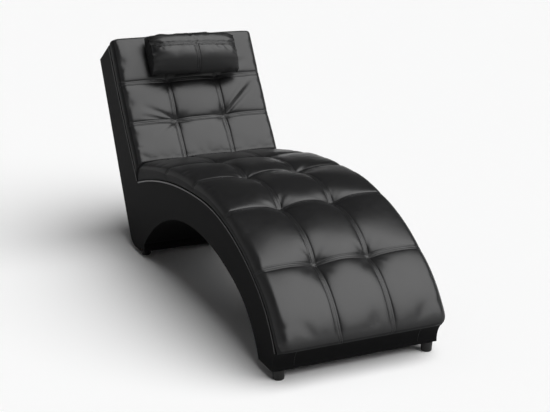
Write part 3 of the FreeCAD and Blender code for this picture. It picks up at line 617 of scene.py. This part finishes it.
def closedCurve(corners, count, steps=24):
    # A smooth closed line through the corners. Gives evenly spaced places, their lengths and each corner's.
    corners = np.array(corners)
    t = np.linspace(0, 1, steps, endpoint=False)[:, None]
    runs = []
    for k in range(len(corners)):
        p, a, b, q = [corners[(k + j) % len(corners)] for j in (-1, 0, 1, 2)]
        runs.append(a + 0.5 * t * (b - p + t * (2 * p - 5 * a + 4 * b - q + t * (3 * (a - b) + q - p))))
    line = np.concatenate(runs + [corners[:1]])
    length = np.concatenate([[0], np.cumsum(np.linalg.norm(np.diff(line, axis=0), axis=1))])
    places = np.linspace(0, length[-1], count, endpoint=False)
    return np.stack([np.interp(places, length, line[:, k]) for k in (0, 1)], axis=-1), places, length[::steps]


def pillowPoints(look, x, ring, capShares):
    # rows from end to end, then rings that close each gusset
    half = look["length"] / 2
    x = np.concatenate([np.full(len(capShares), -half), x, np.full(len(capShares), half)])
    shrink = np.concatenate([capShares[::-1], np.ones(len(x) - 2 * len(capShares)), capShares])[:, None]
    t = np.abs(x / half)[:, None]
    up, out = ring[None, :, 0], ring[None, :, 1]
    tall = 1 - (1 - look["endHeight"]) * t ** 4
    deep = look["endDepth"] + (1 - look["endDepth"]) * np.sqrt(np.clip(1 - t ** look["depthPower"], 0, 1))
    pull = 1 - look["endPull"] * (1 - np.clip(np.abs(up), 0, 1) ** 2) * t ** 4
    fall = np.exp(-((up + look["bellyLow"]) / look["bellyReach"]) ** 2)
    belly = look["belly"] * (1 - t ** 2) * fall * (out > 0)
    up, out = up * tall, -1 + (out + 1 + belly) * deep
    middle = out.mean(axis=1, keepdims=True)
    up, out = up * shrink, middle + (out - middle) * shrink
    along = x[:, None] * pull + np.sign(x)[:, None] * look["gusset"] * (1 - shrink ** 2)
    sag = look["sag"] * (1 - t ** 2) * np.clip(-up, 0, 1)
    s = look["middle"] + up * look["height"] / 2 - along * look["tilt"] - sag
    return onBed(backArcs, s, look["rest"] + (1 + out) * look["depth"] / 2, along + look["aside"])


def buildPillow(name, look, settle, seam, material):
    shares = np.array(look["capShares"])
    half = look["length"] / 2
    scale = np.array([look["height"], look["depth"]]) / 2
    corners = np.array(look["outline"]) * scale
    coarseRing, coarsePlaces, _ = closedCurve(corners, settle["ring"])
    coarseX = np.linspace(-half, half, settle["rows"])
    coarse = pillowPoints(look, coarseX, coarseRing / scale, shares[1::2])
    ring, places, marks = closedCurve(corners, look["ring"])
    x = spaced(-half, half, look["step"], [-half, 0, half], look["fine"], look["fineReach"])
    points = pillowPoints(look, x, ring / scale, shares)
    seamAt, lowAt = marks[look["seamCorner"]], marks[look["lowCorner"]]
    topAt = (marks[look["topCorner"]] + marks[look["topCorner"] + 1]) / 2
    # the long seam, the flat rear and both ends keep their places while the rest settles
    caps = len(shares[1::2])
    held = np.zeros(coarse.shape[:2], bool)
    held[:, np.argmin(np.abs(coarsePlaces - seamAt))] = True
    held[:, coarseRing[:, 1] < -settle["backHold"] * scale[1]] = True
    held[:caps + 1] = held[-caps - 1:] = True
    moved = settled(name + "Skin", coarse, held, settle)[caps:-caps]
    wrapped = np.concatenate([moved, moved[:, :1]], axis=1)
    girth = np.linalg.norm(np.diff(np.vstack([ring, ring[:1]]), axis=0), axis=1).sum()
    first = len(shares)
    points[first:-first] += between(wrapped, coarseX, np.append(coarsePlaces, marks[0] + girth), x, places)
    outward = normalsOf(points, points - points.mean(axis=(0, 1)))
    row = np.concatenate([np.full(first, -half), x, np.full(first, half)])[:, None]
    t = np.abs(row) / half
    # puckers run away from the end rims and from the top edge, and the rim stands up as a pinched seam
    chance = np.random.default_rng(look["seed"])
    phase = chance.uniform(0, math.tau, 6)
    endPucker = np.exp(-((1 - t) * half / look["endFade"])) * ripple(places, look["endRipples"], phase[:2])
    onTop = np.exp(-((places[None, :] - topAt) / look["topFade"]) ** 2)
    topPucker = onTop * ripple(row, look["topRipples"], phase[2:4]) * (look["topMiddle"] + t)
    relief = look["puckerRise"] * (endPucker + topPucker)
    relief = relief + waves(row, places, look["seed"], look["waveSize"], look["waveHeight"])
    toSeam = np.abs(places - seamAt)[None, :] + 0 * row
    toMiddle = np.where((places > seamAt) & (places < lowAt), np.abs(row), farAway)
    ditch = sum(look["ditchDepth"] * np.exp(-distance / look["ditchReach"]) for distance in (toSeam, toMiddle))
    relief = relief - ditch + np.where(toSeam < toMiddle, seamRelief(toSeam, seam), seamRelief(toMiddle, seam))
    relief[:first - 1] = relief[-first + 1:] = 0
    onRim = ring[:, 1] > -look["rimFrom"] * scale[1]
    rim = look["rimRise"] * np.exp(-((1 - t) * half / look["rimWide"]) ** 2) * onRim
    points = points + outward * (relief + rim)[..., None]
    piece = makePiece(name, points, tubeFaces(points), material)
    under = np.clip(-ring[:, 0] / scale[0] / look["underReach"], 0, 1) * look["underDull"]
    rows = np.arange(len(points))
    onCap = (rows < first) | (rows >= len(points) - first - 1)
    # the gusset ends take the side leather, whose weaker reflection paints shade on them
    setSides(piece, *[np.broadcast_to(marked, points.shape[:2]) for marked in (under, onCap[:, None])])
    # needle lines beside the long seam, then beside the short one
    everyRow = rows * 1.0
    inner = slice(first + 2, -first - 2)
    down = (places > seamAt + seam["stitchOffset"]) & (places < lowAt)
    grids = (points, outward)
    lines = []
    for way in (-1, 1):
        offset = way * seam["stitchOffset"]
        beside, at = np.array([seamAt + offset]), np.array([offset])
        lines.append([between(grid, everyRow, places, everyRow, beside)[inner, 0] for grid in grids])
        lines.append([between(grid[first:-first], x, places, at, places)[0, down] for grid in grids])
    return piece, lines


print("pillow")
headPillow, pillowLines = buildPillow("headPillow", pillowLook, pillowSettle, seam, cushionLeather)
pillowStitching = buildStitches("pillowStitching", pillowLines, seam, threadMaterial)

# The flap that holds the pillow: a strip sewn to it, over the top of the back and down behind it, with
# a bar in a pocket at its end. It starts at a share of the pillow's height and a way in from its rear.
flapLook = dict(width=0.180, thick=0.0018, gap=0.0055, endHeight=0.050, drop=0.150, pocket=0.0118,
                pocketTurn=0.93, pocketSteps=30, startHeight=0.46, startDepth=0.034, frontBend=0.012,
                rearBend=0.010, bendSteps=8, edgeWave=0.0012, waveCount=52, wavePower=6, hemWide=0.004,
                hemRise=0.25, hemAt=0.082, hemSkip=(8, 2), pitch=0.0025, step=0.006)


def flapPath(look):
    arc = backArcs[0]
    out = np.array([math.sin(arc[4]), math.cos(arc[4])])
    rise = np.array([out[1], -out[0]])
    top = onBed(backArcs, backBed["length"], 0.0, 0.0)[1:]
    start = onBed(backArcs, pillowLook["middle"] + pillowLook["height"] * look["startHeight"],
                  pillowLook["rest"] + look["startDepth"], 0.0)[1:]
    front = top + rise * look["gap"] + out * (look["endHeight"] + look["gap"])
    rear = top + rise * look["gap"] - out * (backBed["topDepth"] + look["gap"])
    rake = math.radians(backBed["rearRake"])
    down = -np.array([math.sin(rake), math.cos(rake)])
    low = rear + down * look["drop"]
    side = np.array([-down[1], down[0]])
    turns = np.linspace(0, math.tau * look["pocketTurn"], look["pocketSteps"])[1:, None]
    loop = low + side * look["pocket"] + look["pocket"] * (-side * np.cos(turns) + down * np.sin(turns))
    runs = [start]
    t = np.linspace(0, 1, look["bendSteps"])[:, None]
    for corner, ahead, bend in ((front, rear, look["frontBend"]), (rear, low, look["rearBend"])):
        before = runs[-1]
        first = corner + (before - corner) / np.linalg.norm(before - corner) * bend
        last = corner + (ahead - corner) / np.linalg.norm(ahead - corner) * bend
        runs.extend(first * (1 - t) ** 2 + corner * 2 * t * (1 - t) + last * t ** 2)
    return np.vstack(runs + [low] + list(loop))


def buildFlap(name, look, material):
    path = flapPath(look)
    length = np.concatenate([[0], np.cumsum(np.linalg.norm(np.diff(path, axis=0), axis=1))])
    places = np.linspace(0, length[-1], int(length[-1] / look["pitch"]))
    line = np.stack([np.interp(places, length, path[:, k]) for k in (0, 1)], axis=-1)
    ahead = np.gradient(line, axis=0)
    ahead /= np.linalg.norm(ahead, axis=-1, keepdims=True)
    out = np.stack([-ahead[:, 1], ahead[:, 0]], axis=-1)
    x = np.linspace(-look["width"] / 2, look["width"] / 2, int(look["width"] / look["step"]) + 1)
    hem = np.exp(-((look["width"] / 2 - np.abs(x)) / look["hemWide"]) ** 4)
    half = look["thick"] / 2 * (1 + look["hemRise"] * hem)
    # the side edges wave a little
    wave = look["edgeWave"] * np.sin(places[:, None] * look["waveCount"])
    wide = x[None, :] + wave * (np.abs(x) / look["width"] * 2) ** look["wavePower"] * np.sign(x)
    middle = np.broadcast_to(line[:, None, :], wide.shape + (2,))
    offset = out[:, None, :] * half[None, :, None]
    upper = np.concatenate([wide[..., None], middle + offset], axis=-1)
    under = np.concatenate([wide[..., None], middle - offset], axis=-1)
    points = np.concatenate([upper, under[:, ::-1]], axis=1)
    normal = np.concatenate([0 * out[:, :1], out], axis=1)
    sewn = slice(look["hemSkip"][0], -look["hemSkip"][1])
    hems = []
    for place in (-look["hemAt"], look["hemAt"]):
        hems.append((upper[sewn, np.argmin(np.abs(x - place))], normal[sewn]))
    return makePiece(name, points, tubeFaces(points), material), float(length[-1]), hems


# the flap takes the panel leather, whose darker, duller finish is partly painted shade
pillowFlap, flapLength, flapHems = buildFlap("pillowFlap", flapLook, panelLeatherPaintedShade)
flapStitching = buildStitches("flapStitching", flapHems, seam, threadMaterial)
print("flap cut, in metres", round(flapLook["width"], 3), round(flapLength, 3))

# The skirt's two upright seams, laid on the skirt's own face by rays from in front of it
skirtLook = dict(across=0.188, low=0.035, high=0.120, step=0.002, rayFrom=-2.0, facing=0.3)


def skirtLines(look):
    skirt = nodes["front_skirt"]
    lines = []
    for x in (-look["across"], look["across"]):
        spots = []
        for z in np.arange(look["low"], look["high"], look["step"]):
            hit, place, normal, _ = skirt.ray_cast(Vector((x, look["rayFrom"], z)), Vector((0, 1, 0)))
            if hit and normal.y < -look["facing"]:
                spots.append((tuple(place), tuple(normal)))
        lines.append((np.array([spot[0] for spot in spots]), np.array([spot[1] for spot in spots])))
    return lines


skirtStitching = buildStitches("skirtStitching", skirtLines(skirtLook), seam, threadMaterial)

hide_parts("seat_cover", "seat_foam")
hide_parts("back_cover", "back_foam")
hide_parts("headrest_cover", "headrest_filling")
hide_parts("headrest_flap")
for piece in (seatCushion, backCushion, seatStitching, backStitching, skirtStitching):
    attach(piece, "frame")
for piece in (headPillow, pillowStitching, pillowFlap, flapStitching):
    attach(piece, "headrest")

# CAD nodes that stay, each with the finish of its own material
nodeLooks = {"piping_leather": pipingLeather, "plywood": plywood, "hardboard": hardboard, "underlay": underlay,
             "foot_plastic": footPlastic, "steel": zincSteel}
slotOf = {row["node"]: row["material_slot"] for row in frame["record"]["subparts"]}
replaced = ("seat_cover", "seat_foam", "back_cover", "back_foam", "headrest_cover", "headrest_filling",
            "headrest_flap")
# nodes without a finish of their own take the panel leather, partly their own black, partly painted shade
for name, node in nodes.items():
    if name not in replaced:
        for slotted in node.material_slots:
            slotted.material = nodeLooks.get(slotOf.get(name), panelLeatherPaintedShade)

print("studio")
# a round floor that turns up into a low pale wall far away, so that low views have a horizon
floorLook = dict(reach=40.0, wall=4.5, steps=96, colour=(0.96, 0.96, 0.96, 1), roughness=0.95, ior=1.1)
turns = np.linspace(0, math.tau, floorLook["steps"], endpoint=False)
rims = [np.stack([np.cos(turns) * floorLook["reach"], np.sin(turns) * floorLook["reach"], 0 * turns + high],
                 axis=-1) for high in (0.0, floorLook["wall"])]
lower = np.arange(floorLook["steps"])
upright = np.stack([np.roll(lower, -1), lower, lower + len(lower), np.roll(lower, -1) + len(lower)], axis=-1)
floorMaterial, floorTree, floorShader = newMaterial("floorPaint")
connect(floorTree, floorShader, {"Base Color": floorLook["colour"], "Roughness": floorLook["roughness"],
                                 "IOR": floorLook["ior"]})
floor = makePiece("floor", np.concatenate(rims), [lower.tolist()] + upright.tolist(), floorMaterial)
floor.data.shade_flat()

# The camera's place is measured from the front edge; focus and frame are in pixels, angles in degrees
cameraLook = dict(x=-1.4175, y=-2.5995, z=1.3465, down=16.86, turn=-24.32, focus=1190, frame=550, sensor=36)
camera = bpy.data.objects.new("camera", bpy.data.cameras.new("camera"))
camera.data.sensor_width = cameraLook["sensor"]
camera.data.sensor_fit = "HORIZONTAL"
camera.data.lens = cameraLook["focus"] / cameraLook["frame"] * cameraLook["sensor"]
camera.location = (cameraLook["x"], cameraLook["y"] + frontEdge, cameraLook["z"])
camera.rotation_euler = (math.radians(90 - cameraLook["down"]), 0, math.radians(cameraLook["turn"]))
bpy.context.collection.objects.link(camera)
bpy.context.scene.camera = camera

# Two suns, each with its strength, its width in degrees and the way toward it, and the sky's strength
lightLook = dict(key=(3.5, 70, (0.395, -0.42, 0.83)), rim=(0.05, 40, (-0.3, 0.45, 0.84)), sky=0.06)


def addSun(name, energy, wide, toward):
    sun = bpy.data.objects.new(name, bpy.data.lights.new(name, "SUN"))
    sun.data.energy = energy
    sun.data.angle = math.radians(wide)
    sun.rotation_euler = Vector(toward).to_track_quat("Z", "Y").to_euler()
    bpy.context.collection.objects.link(sun)


addSun("key", *lightLook["key"])
addSun("rim", *lightLook["rim"])

world = bpy.data.worlds.new("world")
world.use_nodes = True
sky = {"Color": (1, 1, 1, 1), "Strength": lightLook["sky"]}
connect(world.node_tree, world.node_tree.nodes["Background"], sky)
bpy.context.scene.world = world
bpy.context.scene.view_settings.view_transform = "Standard"
